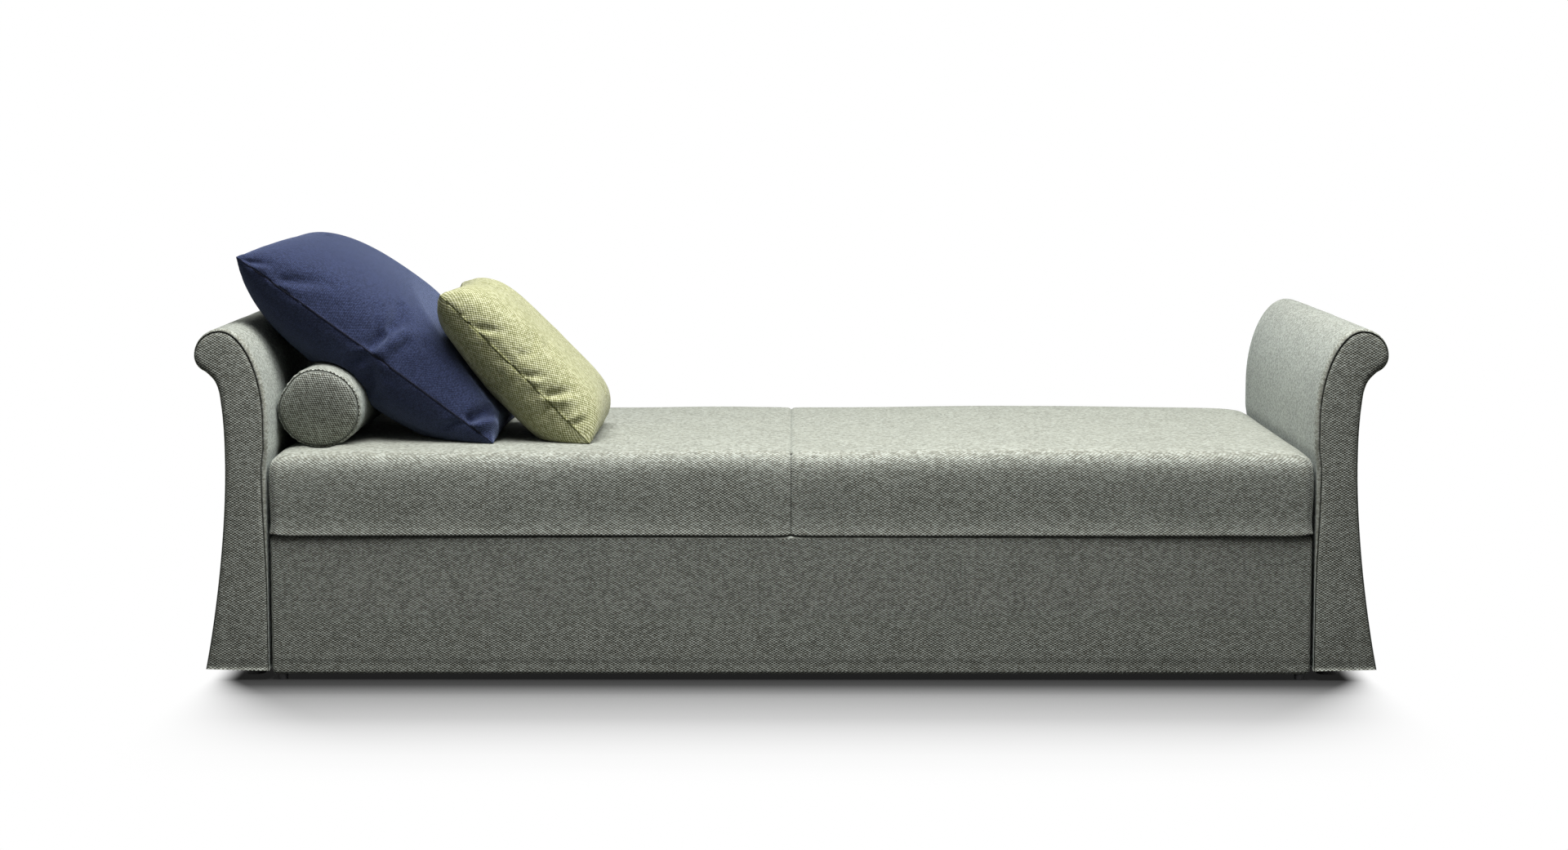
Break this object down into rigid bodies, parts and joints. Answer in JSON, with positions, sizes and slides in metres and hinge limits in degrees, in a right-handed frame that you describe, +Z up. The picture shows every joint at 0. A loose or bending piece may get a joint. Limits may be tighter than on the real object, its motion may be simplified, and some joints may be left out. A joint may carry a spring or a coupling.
{
  "type": "backless divan with pull-out bed",
  "caption": "Backless divan: scrolled upholstered arms at both ends, crowned mattress, pull-out lower bed behind the front panel, bolster and loose cushions.",
  "frame": {"origin": "on the floor under the middle of the divan", "axes": "+X along the length to the right arm as seen from the front, -Y to the front, +Z up"},
  "size_m": [2.224, 0.9, 0.8137],
  "materials": {
    "grey_weave": "grey-beige hopsack upholstery, matt",
    "foam": "cream polyurethane foam, open cell",
    "filling": "white fibre filling in a thin casing",
    "plywood": "raw birch plywood",
    "hardboard": "raw bent hardboard",
    "timber": "planed raw spruce",
    "beech_slat": "laminated beech, clear lacquer",
    "black_plastic": "moulded black polypropylene",
    "painted_steel": "black powder-coated steel tube",
    "zinc_steel": "zinc-plated steel",
    "roller_plastic": "moulded black nylon",
    "ticking": "off-white cotton ticking",
    "indigo_slub": "indigo slub weave",
    "olive_basket": "olive-green basket weave"
  },
  "bodies": {
    "base": {"left_arm_cover": "grey_weave", "right_arm_cover": "grey_weave", "left_arm_foam": "foam", "right_arm_foam": "foam", "left_arm_front_board": "plywood", "left_arm_rear_board": "plywood", "right_arm_front_board": "plywood", "right_arm_rear_board": "plywood", "left_arm_inner_panel": "plywood", "right_arm_inner_panel": "plywood", "left_arm_outer_panel": "hardboard", "right_arm_outer_panel": "hardboard", "left_arm_top_rail": "timber", "right_arm_top_rail": "timber", "left_arm_foot_rails": "timber", "right_arm_foot_rails": "timber", "arm_glides": "black_plastic", "front_rail": "painted_steel", "rear_rail": "painted_steel", "rail_bolts": "zinc_steel", "rail_tee_nuts": "zinc_steel", "seat_slats": "beech_slat", "slat_seats": "black_plastic", "rear_board": "plywood", "rear_cover": "grey_weave"},
    "pull_out_bed": {"front_board": "plywood", "front_cover": "grey_weave", "front_feet": "black_plastic", "lower_front_timber": "timber", "lower_rear_timber": "timber", "lower_left_timber": "timber", "lower_right_timber": "timber", "lower_middle_timber": "timber", "lower_slats_set": "beech_slat", "roller_brackets": "zinc_steel", "roller_axles": "zinc_steel", "lower_mattress_core": "foam", "lower_mattress_cover": "ticking"},
    "front_left_wheel": {"front_left_roller": "roller_plastic"},
    "front_right_wheel": {"front_right_roller": "roller_plastic"},
    "rear_left_wheel": {"rear_left_roller": "roller_plastic"},
    "rear_right_wheel": {"rear_right_roller": "roller_plastic"},
    "mattress": {"mattress_core": "foam", "mattress_cover": "grey_weave"},
    "bolster": {"bolster_filling": "filling", "bolster_cover": "grey_weave"},
    "large_cushion": {"large_cushion_filling": "filling", "large_cushion_cover": "indigo_slub"},
    "small_cushion": {"small_cushion_filling": "filling", "small_cushion_cover": "olive_basket"}
  },
  "joints": [
    {"name": "pull_out", "type": "slide", "parent": "base", "child": "pull_out_bed", "axis": [0, -1, 0], "range_m": [0, 0.72]},
    {"name": "front_left_roll", "type": "hinge", "parent": "pull_out_bed", "child": "front_left_wheel", "pos_m": [-0.912, -0.3405, 0.022], "axis": [1, 0, 0], "continuous": true},
    {"name": "front_right_roll", "type": "hinge", "parent": "pull_out_bed", "child": "front_right_wheel", "pos_m": [0.912, -0.3405, 0.022], "axis": [1, 0, 0], "continuous": true},
    {"name": "rear_left_roll", "type": "hinge", "parent": "pull_out_bed", "child": "rear_left_wheel", "pos_m": [-0.912, 0.2925, 0.022], "axis": [1, 0, 0], "continuous": true},
    {"name": "rear_right_roll", "type": "hinge", "parent": "pull_out_bed", "child": "rear_right_wheel", "pos_m": [0.912, 0.2925, 0.022], "axis": [1, 0, 0], "continuous": true},
    {"name": "mattress_lift", "type": "slide", "parent": "base", "child": "mattress", "axis": [0, 0, 1], "range_m": [0, 0.3]},
    {"name": "bolster_lift", "type": "slide", "parent": "mattress", "child": "bolster", "axis": [0, 0, 1], "range_m": [0, 0.3]},
    {"name": "large_cushion_lift", "type": "slide", "parent": "bolster", "child": "large_cushion", "axis": [0, 0, 1], "range_m": [0, 0.3]},
    {"name": "small_cushion_lift", "type": "slide", "parent": "large_cushion", "child": "small_cushion", "axis": [0, 0, 1], "range_m": [0, 0.3]}
  ],
  "couplings": [
    {"joint": "front_left_roll", "follows": "pull_out", "rad_per_m": 45.455},
    {"joint": "front_right_roll", "follows": "pull_out", "rad_per_m": 45.455},
    {"joint": "rear_left_roll", "follows": "pull_out", "rad_per_m": 45.455},
    {"joint": "rear_right_roll", "follows": "pull_out", "rad_per_m": 45.455}
  ]
}
